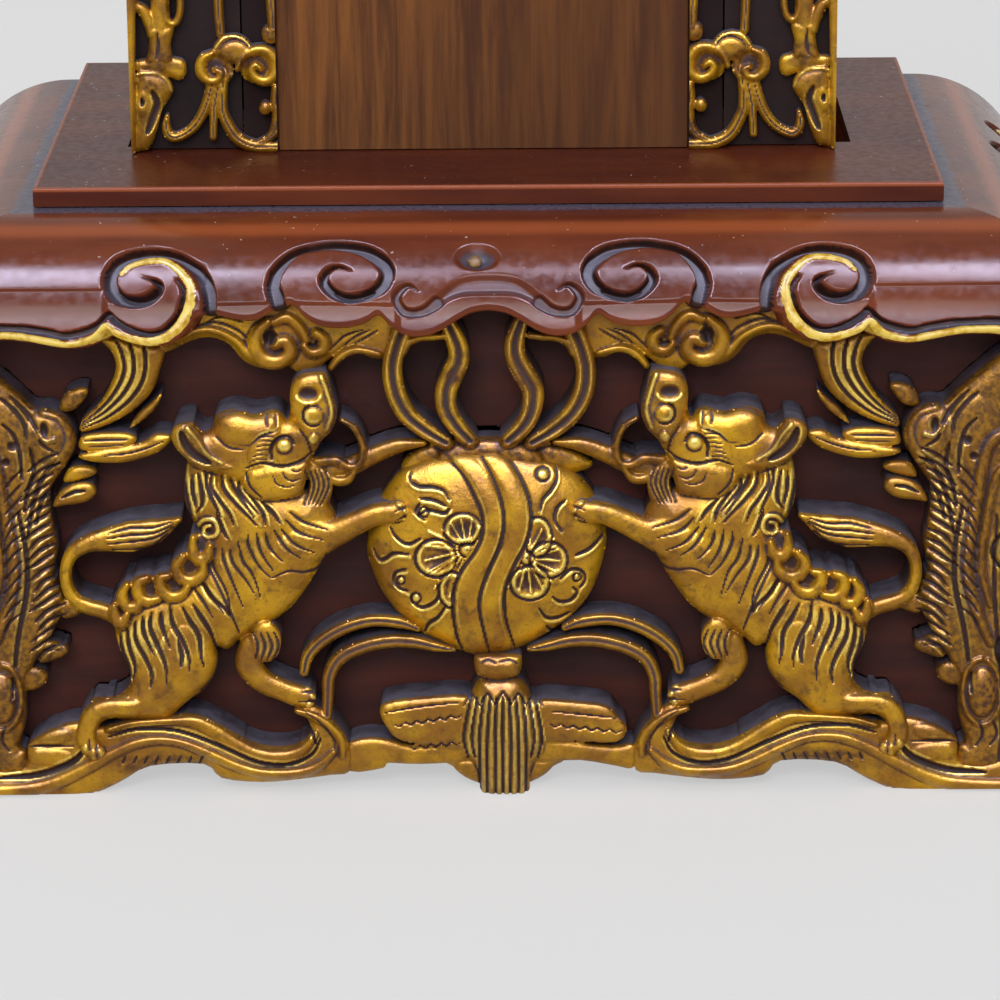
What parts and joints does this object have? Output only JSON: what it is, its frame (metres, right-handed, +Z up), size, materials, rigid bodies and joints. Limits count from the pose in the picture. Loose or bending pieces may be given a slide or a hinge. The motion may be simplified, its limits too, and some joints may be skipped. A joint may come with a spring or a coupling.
{
  "type": "ancestral tablet",
  "caption": "Wooden ancestral tablet with a sliding face panel, standing in the mortise of a lacquered base with a cushion moulding and deep gilt carving.",
  "frame": {"origin": "middle of the footprint, on the surface that the base stands on", "axes": "+Z up, the carved front faces -Y, +X to the right of someone who faces the front"},
  "size_m": [0.2624, 0.1603, 0.502],
  "materials": {
    "lacquer": "aged red-brown lacquer, semi-gloss",
    "ground_lacquer": "dark red-brown lacquer, dusty",
    "gilding": "worn gold leaf over red-brown lacquer",
    "face_wood": "streaky oiled brown wood",
    "plain_wood": "unfinished aged wood",
    "nail_brass": "dull brass"
  },
  "bodies": {
    "base": {"base_top_board": "lacquer", "tier_plate": "lacquer", "front_ground_board": "ground_lacquer", "left_ground_board": "ground_lacquer", "right_ground_board": "ground_lacquer", "front_carving": "gilding", "left_carving": "gilding", "right_carving": "gilding", "back_board": "lacquer", "front_left_post": "plain_wood", "front_right_post": "plain_wood", "back_left_post": "plain_wood", "back_right_post": "plain_wood", "front_cheek": "plain_wood", "rear_cheek": "plain_wood", "tenon_rest": "plain_wood", "lip_nail": "nail_brass"},
    "tablet": {"left_stile": "plain_wood", "right_stile": "plain_wood", "left_groove_fillet": "ground_lacquer", "right_groove_fillet": "ground_lacquer", "left_pierced_strip": "gilding", "right_pierced_strip": "gilding", "left_crest_peg": "plain_wood", "right_crest_peg": "plain_wood", "bottom_rail": "plain_wood", "top_rail": "plain_wood", "case_back": "plain_wood", "inner_tablet": "plain_wood", "crest_board": "lacquer", "crest_carving": "gilding"},
    "face_panel": {"face_panel": "face_wood"}
  },
  "joints": [
    {"name": "tablet_lift", "type": "slide", "parent": "base", "child": "tablet", "axis": [0, 0, 1], "range_m": [0, 0.032]},
    {"name": "face_panel_slide", "type": "slide", "parent": "tablet", "child": "face_panel", "axis": [0, 0, 1], "range_m": [0, 0.25]}
  ]
}
